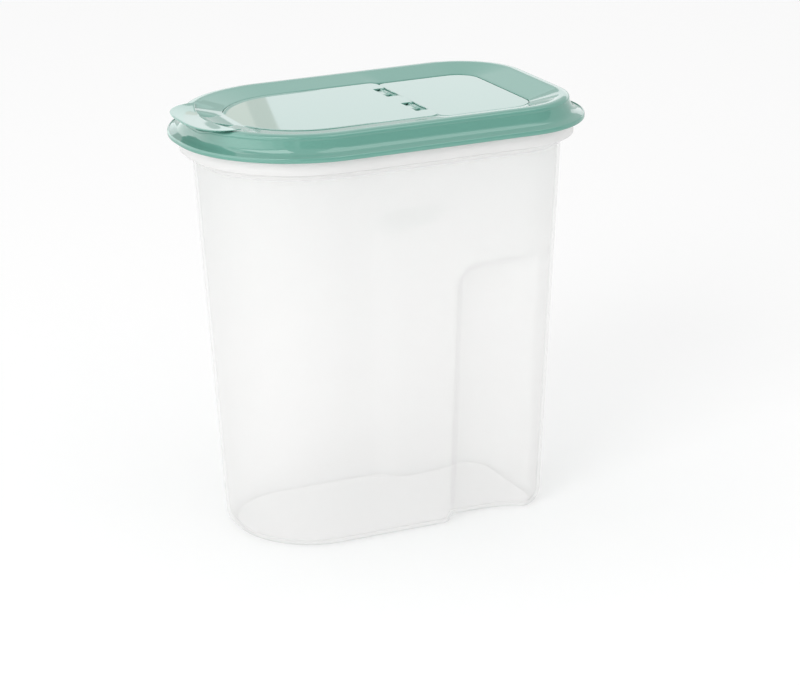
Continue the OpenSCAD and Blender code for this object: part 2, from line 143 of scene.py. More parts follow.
def stack(name, rings, hoop=False, sharp=32):
    """A mesh through an (m, n, 3) array of rings: a quad for each step round and along.

    The first and last rings are closed by a face each, or join each other in a hoop. Edges that
    turn by more than sharp degrees stay sharp.
    """
    m, n = rings.shape[:2]
    along = np.arange(m if hoop else m - 1)[:, None]
    around = np.arange(n)[None, :]
    ahead = (along + 1) % m
    beside = (around + 1) % n
    corners = [along * n + around, along * n + beside, ahead * n + beside, ahead * n + around]
    quads = np.stack(corners, axis=-1)
    faces = quads.reshape(-1, 4).tolist()
    if not hoop:
        faces += [list(range(n))[::-1], list(range((m - 1) * n, m * n))]
    mesh = bpy.data.meshes.new(name)
    mesh.from_pydata((rings.reshape(-1, 3) * MM).tolist(), [], faces)
    mesh.shade_smooth()
    mesh.set_sharp_from_angle(angle=math.radians(sharp))
    piece = bpy.data.objects.new(name, mesh)
    bpy.context.scene.collection.objects.link(piece)
    return piece


def wall_places(front_end, edge, back_start):
    """Places along a straight side: even up to the recess's edge, close together where the wall turns
    in behind it, and even again up to the back corner."""
    ahead = front_end + (edge - turn_ahead - 0.6 - front_end) * np.linspace(0.06, 1, 12)
    turn_in = edge + np.linspace(-turn_ahead, turn_behind, 34)
    behind = edge + turn_behind + (back_start - 0.6 - edge - turn_behind) * np.linspace(0.05, 1, 16)
    return np.hstack([ahead, turn_in, behind])


def body_outline(z, t, draw):
    """The container's wall at the heights z: t inside its outer face, drawn in by a further draw.

    The outline goes evenly from the base's to the rim's. Behind its middle, the half width is held
    under the recess: the largest of its slanted side, its bed and the rise towards the back
    corner, each blended into the next.
    """
    z, draw = (np.atleast_1d(v).astype(float) + 0 * np.atleast_1d(z) for v in (z, draw))
    share = (z / rim_z)[:, None]
    half_x, half_y, front_r, back_r = (base + (top - base) * share).T
    inset = t + draw
    edge = (grip_x + grip_lean * z / grip_h)[:, None]
    front_end = (-half_x + front_r)[:, None]
    back_start = (half_x - back_r)[:, None]
    x, y = half_outline(-half_x + inset, half_x - inset, half_y - inset, front_r - inset, back_r - inset,
                        wall_places(front_end, edge, back_start), arc=40)
    reach = x - edge
    below = (grip_h - z)[:, None]
    r = grip_corner_r
    in_corner = (reach < r) & (below < r)
    depth_in = np.where(in_corner, r - np.hypot(r - reach, r - below), np.minimum(reach, below))
    slope = grip_depth / grip_run
    half_y = half_y[:, None]
    side = half_y - slope * depth_in - t * math.hypot(1, slope)
    bed = half_y - grip_depth - t + grip_bed_slope * (reach - grip_run)
    bed_end = half_y - grip_depth - t + grip_bed_slope * (grip_rise_x - edge - grip_run)
    rise = bed_end + grip_rise_slope * (x - grip_rise_x)
    limit = soft_max(soft_max(side, bed, bed_blend), rise, rise_blend) - draw[:, None]
    y = np.where(x > 0, -np.abs(soft_max(y, -limit, wall_blend)), y)
    return both_halves(x, y, z[:, None])


def rim_outline(inset, z):
    """Rings of the rim at insets from the lid's edge, with as many points as the wall's rings."""
    inset, z = (np.atleast_1d(v).astype(float) for v in (inset, z))
    edge = grip_x + grip_lean * rim_z / grip_h
    front_end = -length / 2 + edge_front_r
    back_start = length / 2 - edge_back_r
    x, y = half_outline(-length / 2 + inset, length / 2 - inset, width / 2 - inset, edge_front_r - inset,
                        edge_back_r - inset, wall_places(front_end, edge, back_start), arc=40)
    return both_halves(x, y, z[:, None])


def rounded_foot(r, steps):
    """Heights and draws of a quarter circle of radius r at the foot of a wall, from the bottom up:
    the height is r (1 - cos), the draw r (1 - sin)."""
    turn = np.linspace(0, np.pi / 2, steps)
    return r * (1 - np.cos(turn)), r * (1 - np.sin(turn))


def container_rings():
    """The container's rings: up the outside, over the rim and down the inside to the floor."""
    foot_z, foot_draw = rounded_foot(base_round, 9)
    inner_z, inner_draw = rounded_foot(base_round - wall, 8)
    wall_z = np.hstack([
        np.linspace(base_round + 2, grip_h - 18, 24),
        np.linspace(grip_h - 16, grip_h + 3, 34),
        np.linspace(grip_h + 7, rim_z - rim_t - 0.8, 10)])
    skirt_low = rim_z - skirt_h
    skirt_in = rim_inset + rim_t
    rim_under = np.array([
        [skirt_in + skirt_root_r, rim_z - rim_t],
        [skirt_in + 0.25 * skirt_root_r, rim_z - rim_t - 0.25 * skirt_root_r],
        [skirt_in, rim_z - rim_t - skirt_root_r],
        [skirt_in, skirt_low + skirt_round],
        [skirt_in - skirt_round, skirt_low],
        [rim_inset + skirt_round, skirt_low],
        [rim_inset, skirt_low + skirt_round],
        [rim_inset, rim_z - 2]])
    turn = np.linspace(0, np.pi / 2, 6)
    rim_over = np.stack([
        rim_inset + rim_round * (1 - np.cos(turn)),
        rim_z - rim_round * (1 - np.sin(turn))], axis=-1)
    lip = np.array([[wall_inset + 0.4, rim_z], [wall_inset + 1, rim_z - 0.25]])
    return np.concatenate([
        body_outline(foot_z, 0, foot_draw),
        body_outline(wall_z, 0, 0),
        body_outline(rim_z - rim_t - 0.3, 0, -0.1),
        rim_outline(*np.vstack([rim_under, rim_over, lip]).T),
        body_outline(rim_z - 1, wall, 0),
        body_outline(wall_z[::-1], wall, 0),
        body_outline((floor_t + inner_z)[::-1], wall, inner_draw[::-1])])


def milky_plastic():
    """Milky polypropylene: some light goes through, less at the doubled rim; faint flow clouding."""
    material = bpy.data.materials.new("milky_plastic")
    material.use_nodes = True
    nodes, links = material.node_tree.nodes, material.node_tree.links
    shader = nodes["Principled BSDF"]
    shader.inputs["Base Color"].default_value = (0.91, 0.903, 0.898, 1)
    shader.inputs["IOR"].default_value = 1.49
    shader.inputs["Transmission Weight"].default_value = 0
    place = nodes.new("ShaderNodeTexCoord")
    cloud = nodes.new("ShaderNodeTexNoise")
    cloud.inputs["Scale"].default_value = 18
    cloud.inputs["Detail"].default_value = 2
    spread = nodes.new("ShaderNodeMapRange")
    spread.inputs["To Min"].default_value = 0.38
    spread.inputs["To Max"].default_value = 0.5
    grain = nodes.new("ShaderNodeTexNoise")
    grain.inputs["Scale"].default_value = 900
    bump = nodes.new("ShaderNodeBump")
    bump.inputs["Strength"].default_value = 0.03
    bump.inputs["Distance"].default_value = 0.0002
    parts = nodes.new("ShaderNodeSeparateXYZ")
    density = nodes.new("ShaderNodeMapRange")
    density.inputs["From Min"].default_value = (rim_z - skirt_h - 4) * MM
    density.inputs["From Max"].default_value = (rim_z - skirt_h) * MM
    density.inputs["To Min"].default_value = 0.24
    density.inputs["To Max"].default_value = 0.72
    links.new(place.outputs["Object"], parts.inputs["Vector"])
    links.new(parts.outputs["Z"], density.inputs["Value"])
    links.new(density.outputs["Result"], shader.inputs["Alpha"])
    links.new(place.outputs["Object"], cloud.inputs["Vector"])
    links.new(place.outputs["Object"], grain.inputs["Vector"])
    links.new(cloud.outputs["Fac"], spread.inputs["Value"])
    links.new(spread.outputs["Result"], shader.inputs["Roughness"])
    links.new(grain.outputs["Fac"], bump.inputs["Height"])
    links.new(bump.outputs["Normal"], shader.inputs["Normal"])
    return material


container_shell = stack("container_shell", container_rings(), sharp=50)
container_shell.data.materials.append(milky_plastic())
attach(container_shell, "container")
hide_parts("container")

# ---- Lid collar ----------------------------------------------------------------------------
# The raised ring of the lid, one moulding of glossy mint plastic: a low edge, a fine groove line,
# a sweep up to a rounded bead, then the slope down to the pocket. The plug below it seals.

skin = 1.6
plug_inset = 12.4
plug_t = 1.4
plug_low = rim_z - 7.6
bead_z = rim_z - 3
stop_z = rim_z + 0.2

# the dip in the crest at the front: deep under the neck, slight as far as the thumb tab reaches
dip_depth = 1.85
dip_flat = 6.0
dip_fade = 14.0
brim_dip = 0.45
brim_flat = 24.0
brim_fade = 6.0

# the slope inside the crest, and the channel through it for the neck; it ends lower along the deck
brink_inset = 12.1
brink_drop = 0.24
chute_half = 5.0
chute_fade = 10.0
deck_drop = 0.8
deck_fade = 3.0

slope_z = crest_z - 2.25
flap_z = crest_z - 2.4
flap_t = 1.5
flap_under = flap_z - flap_t
pocket_z = flap_under - 0.4
pocket_half = width / 2 - 24.2
pocket_cx = -length / 2 + 23.7 + pocket_half
pocket_end = length / 2 - 26.3
pocket_back_r = 11.5
hinge_x = 16.2

# the collar's outside as [inset, drop below the crest], up from its low edge; a curve goes through them
edge_line = [[0.6, 10.6], [0.18, 10.48], [0, 10.1], [0, 9.4], [0.1, 8.85], [0.4, 8.45], [0.8, 8.3]]
sweep_line = [[0.85, 8.55], [1.15, 8.5], [2.4, 8.05], [3.9, 7.4], [5.15, 6.3], [6.0, 4.9], [6.55, 3.5],
              [6.85, 2.35]]
bead_line = [[6.85, 2.2], [6.86, 1.55], [7.15, 0.9], [7.75, 0.45], [8.5, 0.18], [9.3, 0.04], [10.1, 0],
             [10.9, 0.02], [11.6, 0.11]]
# the hollow under it, down again to the edge
hollow_line = np.array([
    [10, 4.4], [8.9, 4.4], [8.3, 4.9], [7.6, 6], [6.6, 7.3], [5.3, 8.4], [4.1, 9.1], [2.9, 9.6], [1.8, 9.9],
    [1.6, 10.6]])


def curve_through(points, per_step):
    """A curve through the points, per_step places in each step and the last point.

    Between b and c, with a before and d after them, it is the Catmull-Rom cubic of the four.
    """
    p = np.array(points, float)
    p = np.vstack([2 * p[0] - p[1], p, 2 * p[-1] - p[-2]])
    t = np.arange(per_step)[None, :, None] / per_step
    a, b, c, d = (p[i:len(p) - 3 + i, None] for i in range(4))
    square = 2 * a - 5 * b + 4 * c - d
    cube = 3 * b - a - 3 * c + d
    steps = 0.5 * (2 * b + (c - a) * t + square * t ** 2 + cube * t ** 3)
    return np.vstack([steps.reshape(-1, 2), p[-2]])


def dip(y):
    """How much lower the crest lies at a place across the front: two dips, each with a smooth fade."""
    y = np.abs(y)
    deep = dip_depth * (1 - smooth_step((y - dip_flat) / dip_fade))
    return deep + brim_dip * (1 - smooth_step((y - brim_flat) / brim_fade))


side_places = np.linspace(0.04, 0.96, 24)


def lid_ring(inset, z):
    """Rings round the lid at insets from its edge, at heights z before the dip at the front.

    The dip is whole 1 mm below the crest and fades out down to 8 mm below it, at the groove line.
    """
    inset, z = (np.atleast_1d(v).astype(float) for v in (inset, z))
    x0 = -length / 2 + edge_front_r
    x1 = length / 2 - edge_back_r
    x, y = half_outline(-length / 2 + inset, length / 2 - inset, width / 2 - inset, edge_front_r - inset,
                        edge_back_r - inset, x0 + (x1 - x0) * side_places, arc=64)
    height_share = smooth_step((z - crest_z + 8) / 7)[:, None]
    level = z[:, None] - np.where(x < 0, dip(y), 0) * height_share
    return both_halves(x, y, level)


def pocket_ring(grow, z):
    """Rings round the flap's pocket, grown outward: round front, parallel sides, round back corners."""
    grow, z = (np.atleast_1d(v).astype(float) for v in (grow, z))
    x1 = pocket_end - pocket_back_r
    x, y = half_outline(pocket_cx - pocket_half - grow, pocket_end + grow, pocket_half + grow,
                        pocket_half + grow - 0.02, pocket_back_r + grow,
                        pocket_cx + (x1 - pocket_cx) * side_places, arc=64)
    return both_halves(x, y, z[:, None] + 0 * x)


def collar_rings():
    """The collar as a hoop of rings: up its outside, down the slope, and back below, round the plug."""
    outside = np.vstack([
        curve_through(edge_line, 3), curve_through(sweep_line, 4), curve_through(bead_line, 4)])
    outer = lid_ring(np.maximum(outside[:, 0], 0), crest_z - outside[:, 1])
    brink = lid_ring([brink_inset], [crest_z - brink_drop])
    lip = pocket_ring([0.5], [slope_z])[0]
    from_middle = np.abs(brink[0, :, 1])
    channel = (slope_z - pocket_z - 0.05) * (1 - smooth_step((from_middle - chute_half) / chute_fade))
    lower = channel * (lip[:, 0] < pocket_cx)
    lower += deck_drop * smooth_step((lip[:, 0] - hinge_x - 1) / deck_fade)
    lip[:, 2] -= lower
    share = np.linspace(0, 1, 14)[:, None, None]
    slope = brink + (lip - brink) * share
    turned = pocket_ring([0.35, 0.1, 0, 0], [slope_z - 0.05, slope_z - 0.2, slope_z - 0.45, pocket_z - 0.3])
    turned[:3, :, 2] -= lower * np.array([1, 0.97, 0.75])[:, None]
    under = pocket_ring([0.2, 1.5], [pocket_z - skin, pocket_z - skin])
    plug_in = plug_inset + plug_t
    plug_line = np.array([
        [plug_in, crest_z - 5.2], [plug_in, plug_low + 0.3], [plug_in - 0.3, plug_low],
        [plug_inset + 0.4, plug_low], [plug_inset + 0.1, plug_low + 0.3], [plug_inset, plug_low + 0.8],
        [plug_inset, bead_z - 0.9], [plug_inset - 0.3, bead_z - 0.2], [plug_inset - 0.3, bead_z + 0.2],
        [plug_inset, bead_z + 0.9], [plug_inset, stop_z], [wall_inset, stop_z],
        [wall_inset, stop_z + 1.2], [plug_inset, stop_z + 1.4], [plug_inset, crest_z - 4.6]])
    plug = lid_ring(*plug_line.T)
    hollow = lid_ring(hollow_line[:, 0], crest_z - hollow_line[:, 1])
    return np.concatenate([outer, slope, turned, under, plug, hollow])


def mint_plastic():
    """Glossy mint polypropylene: even colour, a fine mould texture and a slightly varied gloss."""
    material = bpy.data.materials.new("mint_plastic")
    material.use_nodes = True
    nodes, links = material.node_tree.nodes, material.node_tree.links
    shader = nodes["Principled BSDF"]
    shader.inputs["Base Color"].default_value = (0.148, 0.350, 0.290, 1)
    shader.inputs["IOR"].default_value = 1.5
    place = nodes.new("ShaderNodeTexCoord")
    cloud = nodes.new("ShaderNodeTexNoise")
    cloud.inputs["Scale"].default_value = 40
    cloud.inputs["Detail"].default_value = 3
    spread = nodes.new("ShaderNodeMapRange")
    spread.inputs["To Min"].default_value = 0.02
    spread.inputs["To Max"].default_value = 0.04
    grain = nodes.new("ShaderNodeTexNoise")
    grain.inputs["Scale"].default_value = 160
    grain.inputs["Detail"].default_value = 1
    bump = nodes.new("ShaderNodeBump")
    bump.inputs["Strength"].default_value = 0.005
    bump.inputs["Distance"].default_value = 0.0001
    links.new(place.outputs["Object"], cloud.inputs["Vector"])
    links.new(place.outputs["Object"], grain.inputs["Vector"])
    links.new(cloud.outputs["Fac"], spread.inputs["Value"])
    links.new(spread.outputs["Result"], shader.inputs["Roughness"])
    links.new(grain.outputs["Fac"], bump.inputs["Height"])
    links.new(bump.outputs["Normal"], shader.inputs["Normal"])
    return material


mint = mint_plastic()


def fit_on(piece, body, *nodes):
    """Gives a mint piece its finish and its body, and hides the CAD nodes it stands for."""
    piece.data.materials.append(mint)
    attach(piece, body)
    if nodes:
        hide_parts(*nodes)


lid_collar = stack("lid_collar", collar_rings(), hoop=True)
fit_on(lid_collar, "lid", "lid")

# ---- Lid floor -----------------------------------------------------------------------------
# The sunken floor of the lid, of one piece with the collar: a ledge with the pour opening and its
# lip at the front, a trough for the hinge across it, and the fixed deck panel behind.

lip_h = 3.7
lip_t = 1.2
pin_z = flap_z - skin + 0.2
nose_r = 2.3
trough_back = hinge_x + nose_r + 0.3
trough_front = hinge_x - 4.8
trough_z = pin_z - nose_r - 1.1
trough_half = pocket_half - 0.2
opening_half = pocket_half - 6.3
opening_end = trough_front - skin - lip_t - 1.1
opening_r = 8.0
deck_z = pocket_z + 1
deck_groove = 0.35
deck_round = 0.3
panel_r = 4.5


def opening_ring(grow, z):
    """Rings round the pour opening, grown outward, with as many points as the ledge's outside."""
    grow, z = (np.atleast_1d(v).astype(float) for v in (grow, z))
    x1 = opening_end - opening_r
    x, y = half_outline(pocket_cx - opening_half - grow, opening_end + grow, opening_half + grow,
                        opening_half + grow - 0.02, opening_r + grow,
                        pocket_cx + (x1 - pocket_cx) * side_places, arc=40)
    return both_halves(x, y, z[:, None] + 0 * x)


def ledge_ring(grow, z):
    """Rings round the ledge: as the pocket at the front and the sides, square at the hinge's trough."""
    grow, z = (np.atleast_1d(v).astype(float) for v in (grow, z))
    end = trough_front - 0.02 + 0 * grow
    x, y = half_outline(pocket_cx - pocket_half - grow, end, pocket_half + grow, pocket_half + grow - 0.02,
                        1.0 + 0 * grow, pocket_cx + (trough_front - 1 - pocket_cx) * side_places, arc=40)
    return both_halves(x, y, z[:, None] + 0 * x)


ledge = stack("lid_ledge", np.concatenate([
    ledge_ring([0.4, 0.4], [pocket_z - skin, pocket_z]),
    opening_ring([0.5, 0.15, 0, 0, 0.2], [pocket_z, pocket_z - 0.15, pocket_z - 0.5, pocket_z - lip_h + 0.2,
                                          pocket_z - lip_h]),
    opening_ring([lip_t - 0.2, lip_t, lip_t], [pocket_z - lip_h, pocket_z - lip_h + 0.2, pocket_z - skin])]),
    hoop=True)
fit_on(ledge, "lid")


def panel_ring(x0, x1, half, front_r, back_r, grow, z, arc=14):
    """Rings round a rectangle with round corners, grown outward."""
    grow, z = (np.atleast_1d(v).astype(float) for v in (grow, z))
    start = x0 + front_r
    finish = x1 - back_r
    x, y = half_outline(x0 - grow, x1 + grow, half + grow, front_r + grow, back_r + grow,
                        start + (finish - start) * np.linspace(0.1, 0.9, 8), arc=arc)
    return both_halves(x, y, z[:, None] + 0 * x)


trough = stack("hinge_trough", panel_ring(
    trough_front, trough_back, trough_half, 0.6, 0.6,
    [0.6, skin - 0.2, skin, skin - 0.02, 0, 0, -0.4],
    [trough_z - skin, trough_z - skin + 0.2, trough_z - skin + 0.8, pocket_z - 0.02, pocket_z - 0.02,
     trough_z + 0.4, trough_z]))
fit_on(trough, "lid")

quarter = np.linspace(0, np.pi / 2, 6)
rear_floor = stack("rear_floor", panel_ring(
    trough_back, pocket_end + 0.4, pocket_half + 0.4, 0.6, pocket_back_r + 0.4,
    [0, 0], [pocket_z - skin, pocket_z]))
fit_on(rear_floor, "lid")

deck_panel = stack("deck_panel", panel_ring(
    trough_back, pocket_end - deck_groove, pocket_half - deck_groove, panel_r, pocket_back_r - deck_groove,
    np.hstack([0, deck_round * (np.cos(quarter) - 1), -deck_round - 0.4]),
    np.hstack([pocket_z - 0.3, deck_z - deck_round * (1 - np.sin(quarter)), deck_z])))
fit_on(deck_panel, "lid")

# ---- Hinge pins ----------------------------------------------------------------------------
# Two pins moulded with the lid, each held between two round-topped ears that stand in the trough.
# The flap's clips snap over them from above.

pin_r = 1.2
clip_y = 15.3
clip_w = 9.0
ear_t = 1.5
ear_gap = 1.7
ear_in = clip_y - clip_w / 2 - ear_gap
ear_out = clip_y + clip_w / 2 + ear_gap
ear_r = flap_z - pin_z


def across(name, profile, y0, y1, ease=0.25):
    """A bar along Y of an (n, 2) profile in x and z, with its two ends eased over a small round.

    The profile runs anticlockwise as -Y looks at it, so the bar is built from its +Y end.
    """
    middle = profile.mean(axis=0)
    reach = np.hypot(*(profile - middle).T).max()
    y = np.array([y1, y1 - 0.3 * ease, y1 - ease, y0 + ease, y0 + 0.3 * ease, y0])
    size = 1 - ease / reach * np.array([1, 0.3, 0, 0, 0.3, 1])
    place = middle + (profile - middle) * size[:, None, None]
    rings = np.stack([place[..., 0], y[:, None] + 0 * place[..., 0], place[..., 1]], axis=-1)
    return stack(name, rings)


def arc_points(x, z, r, start, end, count):
    """Points on a circle's arc in the XZ plane, from start to end in degrees."""
    turn = np.radians(np.linspace(start, end, count))
    return np.stack([x + r * np.cos(turn), z + r * np.sin(turn)], axis=-1)


ear_profile = np.vstack([
    [[hinge_x - ear_r, trough_z - 0.3], [hinge_x + ear_r, trough_z - 0.3]],
    arc_points(hinge_x, pin_z, ear_r, 0, 180, 25)])
for side, sign in (("near", -1), ("far", 1)):
    for place, y in (("inner", ear_in - ear_t), ("outer", ear_out)):
        y0, y1 = sorted((sign * y, sign * (y + ear_t)))
        fit_on(across(f"hinge_ear_{side}_{place}", ear_profile, y0, y1), "lid")
    y0, y1 = sorted((sign * (ear_in - ear_t / 2), sign * (ear_out + ear_t / 2)))
    fit_on(across(f"hinge_pin_{side}", arc_points(hinge_x, pin_z, pin_r, 0, 352.5, 48), y0, y1), "lid")

# ---- Flap ----------------------------------------------------------------------------------
# The pouring flap, one moulding of the lid's plastic: a flat plate with a round front and a rolled
# nose that turns in the trough, a skirt below that plugs the opening, and two clips.

flap_gap = 0.4
flap_half = pocket_half - flap_gap
flap_rear = hinge_x + 1.82
flap_round = 0.25
flap_brim = 0.2
notch_gap = 0.3
notch_in = ear_in - ear_t - notch_gap
notch_out = ear_out + ear_t + notch_gap
notch_x = hinge_x - 4.3


def plate_outline():
    """The flap's outline as an (n, 2) loop: round front, round rear corners and a notch for each clip."""
    front = np.radians(np.linspace(180, 270, 72))
    corner = np.radians(np.linspace(270, 360, 12))
    side_x = np.linspace(pocket_cx + 3, flap_rear - panel_r - 3, 12)
    near = np.vstack([
        np.stack([pocket_cx + flap_half * np.cos(front), flap_half * np.sin(front)], axis=-1),
        np.stack([side_x, 0 * side_x - flap_half], axis=-1),
        np.stack([flap_rear - panel_r + panel_r * np.cos(corner),
                  -flap_half + panel_r + panel_r * np.sin(corner)], axis=-1),
        [[flap_rear, -notch_out], [notch_x, -notch_out], [notch_x, -notch_in], [flap_rear, -notch_in]]])
    far = near[::-1] * [1, -1]
    return np.vstack([near, far[:-1]])


def moved_in(loop, distance):
    """The loop moved inward by a distance: each point goes along the bisector of its two edges."""
    ahead = np.roll(loop, -1, axis=0) - loop
    ahead /= np.linalg.norm(ahead, axis=1)[:, None]
    behind = np.roll(ahead, 1, axis=0)
    inward = np.stack([-(ahead + behind)[:, 1], (ahead + behind)[:, 0]], axis=-1)
    scale = 2 / np.maximum((inward ** 2).sum(axis=1), 0.5)
    return loop + inward * scale[:, None] * distance


def plate_rings(loop, low, high, ease, brim):
    """Rings up a plate from an (n, 2) loop, its edges rounded by ease as quarter circles.

    Its top climbs by brim over the last 1.6 mm to the edge. That fades out from X = -40 to 0, and
    towards the middle of the front, where the neck starts.
    """
    turn = np.linspace(0, np.pi / 2, 6)
    inset = np.hstack([ease + 0.4, ease * (1 - np.sin(turn)), ease * (1 - np.cos(turn)), 0.7, 1.2, 1.8, 2.2])
    level = np.hstack([
        low, low + ease * (1 - np.cos(turn)), high - ease * (1 - np.sin(turn)), np.full(4, high)])
    climb = np.hstack([np.zeros(7), np.full(6, brim), brim * np.array([0.72, 0.3, 0, 0])])
    share = (1 - smooth_step((loop[:, 0] + 40) / 40)) * smooth_step((np.abs(loop[:, 1]) - 11) / 6)
    return np.stack([
        np.column_stack([moved_in(loop, d), z + c * share]) for d, z, c in zip(inset, level, climb)])


flap_plate = stack("flap_plate", plate_rings(plate_outline(), flap_under, flap_z, flap_round, flap_brim))
fit_on(flap_plate, "flap", "flap")

# the nose below the plate's rear edge, between and outside the two notches
nose_profile = np.vstack([
    arc_points(hinge_x, pin_z, nose_r, 154, 386, 60),
    [[hinge_x + 1.5, flap_z - 0.3], [hinge_x - 1.5, flap_z - 0.3]]])
for name, y0, y1 in (("near", -flap_half + 0.8, -notch_out), ("middle", -notch_in, notch_in),
                     ("far", notch_out, flap_half - 0.8)):
    fit_on(across(f"flap_nose_{name}", nose_profile, y0, y1), "flap")

clip_r = 2.2
clip_bore = pin_r + 0.05
clip_slot = 2.0
bore_angle = math.degrees(math.asin(clip_slot / 2 / clip_bore))
top_angle = math.degrees(math.asin((flap_z - pin_z) / clip_r))
# the C of a clip: out along its bore, back round its outside, its top cut level with the plate
clip_profile = np.vstack([
    [[hinge_x - clip_slot / 2, flap_z]],
    arc_points(hinge_x, pin_z, clip_r, 180 - top_angle, 360 + top_angle, 60),
    [[hinge_x + clip_slot / 2, flap_z]],
    arc_points(hinge_x, pin_z, clip_bore, 90 - bore_angle, -270 + bore_angle, 60)])
arm_profile = np.array([
    [notch_x - 0.5, flap_under + 0.02],
    [hinge_x - pin_r - 0.5, flap_under + 0.02],
    [hinge_x - pin_r - 0.4, flap_z - 0.45],
    [hinge_x - pin_r - 0.6, flap_z - 0.3],
    [notch_x - 0.5, flap_z - 0.3]])
for side, sign in (("near", -1), ("far", 1)):
    y0, y1 = sorted((sign * (clip_y - clip_w / 2), sign * (clip_y + clip_w / 2)))
    fit_on(across(f"clip_{side}", clip_profile, y0, y1, ease=0.15), "flap")
    fit_on(across(f"clip_arm_{side}", arm_profile, y0, y1, ease=0.15), "flap")

seal_gap = 0.4
seal_t = 1.2
seal_low = flap_under - 4.5
seal_skirt = stack("seal_skirt", np.concatenate([
    opening_ring([-seal_gap - 0.25, -seal_gap, -seal_gap, -seal_gap],
                 [seal_low, seal_low + 0.4, flap_under - 0.4, flap_under + 0.5]),
    opening_ring([-seal_gap - seal_t, -seal_gap - seal_t, -seal_gap - seal_t + 0.25],
                 [flap_under + 0.5, seal_low + 0.4, seal_low])]), hoop=True)
fit_on(seal_skirt, "flap")

# ---- Thumb tab -----------------------------------------------------------------------------
# The crescent that the thumb lifts, moulded with the flap: it lies over the dip in the collar, a
# neck joins it to the plate, and its outer edge is rounded.

tab_tip = -length / 2 + 1.0
tab_len = 12.2
tab_root = tab_tip + tab_len
tab_root_z = height - 0.7
tab_half = 28.0
tab_t = 0.8
tab_thin = 0.35
tab_gap = 0.25
tab_power = 2.6
tab_bow = 6.2
tab_round = 0.5

neck_start = pocket_cx - flap_half + 2.9
neck_whole = neck_start - tab_root
neck_half = 6.0
neck_flare = 13.0
neck_flare_run = 16.0
neck_slope = 0.05
neck_round = 0.5
neck_t = 1.1


def tab_outer(y):
    """The tab's outer edge at y: half of |x|^p + |y|^p = 1, squarish, with p the tab_power."""
    back = tab_root + tab_bow
    share = np.clip(1 - (np.abs(y) / tab_half) ** tab_power, 0, 1) ** (1 / tab_power)
    return back - (back - tab_tip) * share


def tab_inner(y):
    """The tab's inner edge at y, a parabola."""
    return tab_root + tab_bow * (np.abs(y) / tab_half) ** 2


def tab_rings():
    """Sections through the tab along X, from its +Y end to its -Y end.

    Each runs below from the inner edge to the outer one and back on top, where it climbs evenly
    to the tip. Its thickness falls with the square of y, less where it would come within tab_gap
    of the collar, and goes to nothing at both edges as a quarter circle does.
    """
    y = tab_half * 0.985 * np.sin(np.linspace(np.pi / 2, -np.pi / 2, 65))[:, None]
    inner, outer = tab_inner(y), tab_outer(y)
    along = np.array([
        0, 0.004, 0.012, 0.024, 0.04, 0.1, 0.25, 0.42, 0.58, 0.75, 0.9, 0.96, 0.976, 0.988, 0.996, 1])
    share = np.hstack([along, along[::-1]])
    x = inner + (outer - inner) * share
    out = (np.abs(y) / tab_half) ** 2
    over = height - (height - tab_root_z) * (1 - out) * np.clip((x - tab_tip) / tab_len, 0, 1)
    thick = tab_t + (tab_thin - tab_t) * out
    under = np.minimum(np.maximum(over - thick, crest_z - dip(y) + tab_gap + 0 * x), over - 0.3)
    middle = (over + under) / 2
    reach = np.clip(np.minimum(x - outer, inner - x), 0, tab_round) / tab_round
    half_t = (over - under) / 2 * np.sqrt(np.clip(1 - (1 - reach) ** 2, 0, 1))
    side = np.repeat([-1, 1], len(along))
    return np.stack([x, y + 0 * x, middle + side * half_t], axis=-1)


thumb_tab = stack("thumb_tab", tab_rings(), sharp=60)
fit_on(thumb_tab, "flap")


def neck_rings():
    """Sections across the neck from the plate to the tab.

    Its half width grows as a parabola towards the plate and its height climbs as a cube towards the
    tab. The long edges on top are quarter circles, and between them the top is flat.
    """
    x = np.linspace(neck_start + 0.4, tab_root - 0.6, 40)[:, None]
    s = np.clip(neck_start - x, 0, None)
    climb = tab_root_z - 0.1 - flap_z - neck_slope * neck_whole
    over = flap_z - 0.02 + neck_slope * s + climb * (s / neck_whole) ** 3
    half = neck_half + neck_flare * (np.clip(x - tab_root, 0, None) / neck_flare_run) ** 2
    turn = np.linspace(0, np.pi / 2, 6)
    flat = np.array([0.92, 0.5, 0, -0.5, -0.92])
    inset = neck_round * (1 - np.cos(turn))
    drop = neck_round * (1 - np.sin(turn))
    y_top = np.hstack([inset - half, -flat * (half - neck_round), half - inset[::-1]])
    z_top = over - np.hstack([drop, 0 * flat, drop[::-1]])
    y_low = np.hstack([half - 0.7, 0.7 - half])
    z_low = np.hstack([over - neck_t, over - neck_t])
    y = np.hstack([y_top, y_low])
    z = np.hstack([z_top, z_low])
    return np.stack([x + 0 * y, y, z], axis=-1)


neck = stack("tab_neck", neck_rings())
fit_on(neck, "flap")

# ---- Studio --------------------------------------------------------------------------------
# A plain white floor under an even pale sky, with one large soft lamp from the front left. Cards
# round the lid show in its glossy plastic alone, and the camera stands where the photograph's did.

floor_half = 4.0
floor_mesh = bpy.data.meshes.new("studio_floor")
floor_mesh.from_pydata(
    [(-floor_half, -floor_half, 0), (floor_half, -floor_half, 0), (floor_half, floor_half, 0),
     (-floor_half, floor_half, 0)], [], [(0, 1, 2, 3)])
studio_floor = bpy.data.objects.new("studio_floor", floor_mesh)
bpy.context.scene.collection.objects.link(studio_floor)
floor_paint = bpy.data.materials.new("studio_floor")
floor_paint.use_nodes = True
floor_paint.node_tree.nodes["Principled BSDF"].inputs["Base Color"].default_value = (1, 1, 1, 1)
floor_paint.node_tree.nodes["Principled BSDF"].inputs["Roughness"].default_value = 0.9
floor_paint.node_tree.nodes["Principled BSDF"].inputs["Specular IOR Level"].default_value = 0
floor_mesh.materials.append(floor_paint)

